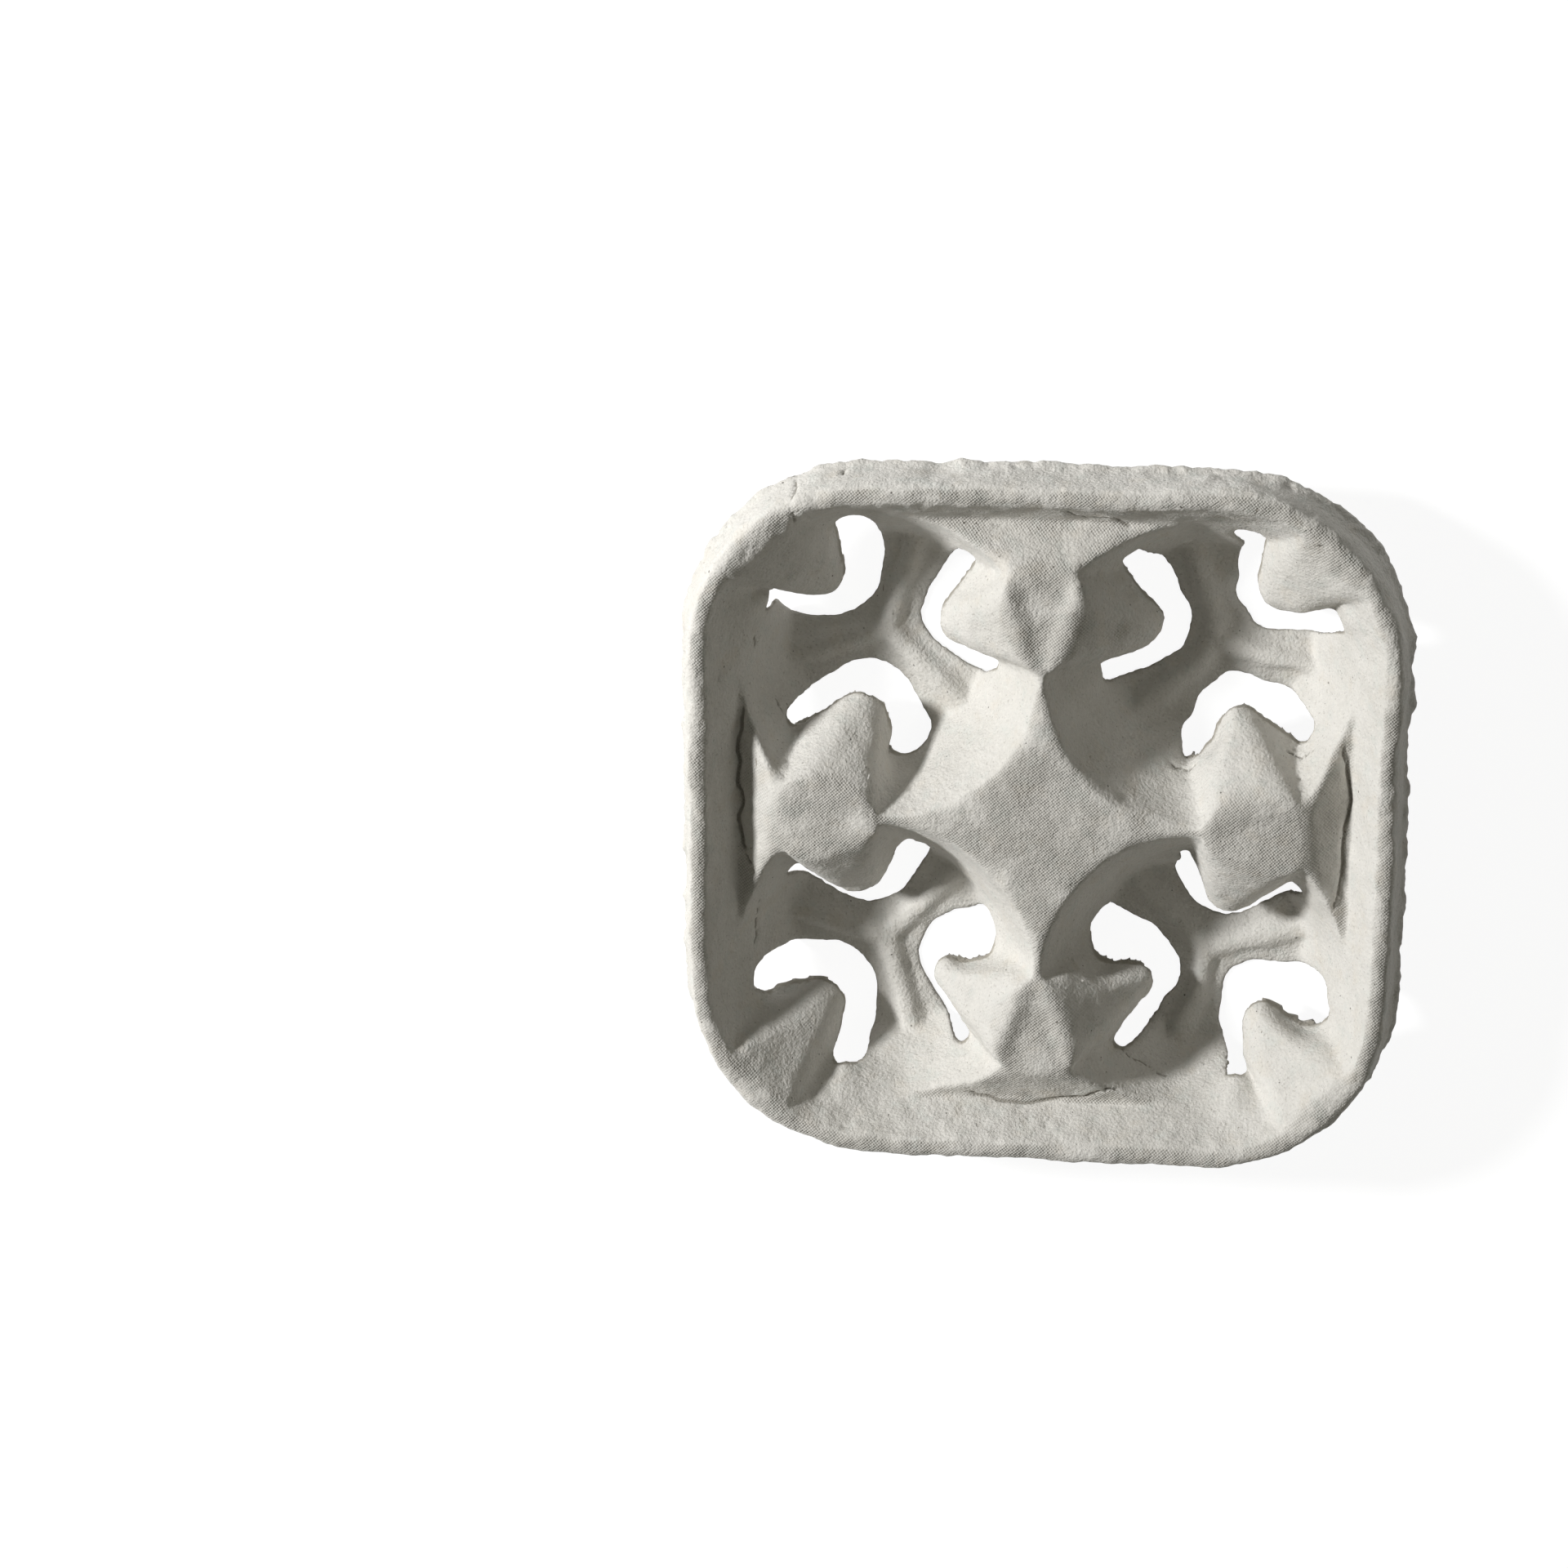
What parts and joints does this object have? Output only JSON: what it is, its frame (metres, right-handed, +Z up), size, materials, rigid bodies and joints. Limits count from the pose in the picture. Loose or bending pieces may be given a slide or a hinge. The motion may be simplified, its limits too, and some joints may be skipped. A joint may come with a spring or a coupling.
{
  "type": "cup carrier tray",
  "caption": "Square moulded-pulp carrier tray with conical cup pockets, slotted gripping fingers and a raised hollow rim.",
  "frame": {"origin": "centre of the square outline, on the plane the four pocket floors stand on", "axes": "+Z up out of the pockets; X and Y along the sides of the square"},
  "size_m": [0.215, 0.215, 0.045],
  "materials": {
    "pulp": "matt warm grey moulded pulp with a fine wire-screen grain"
  },
  "bodies": {
    "root": {"carrier_tray": "pulp"}
  },
  "joints": []
}
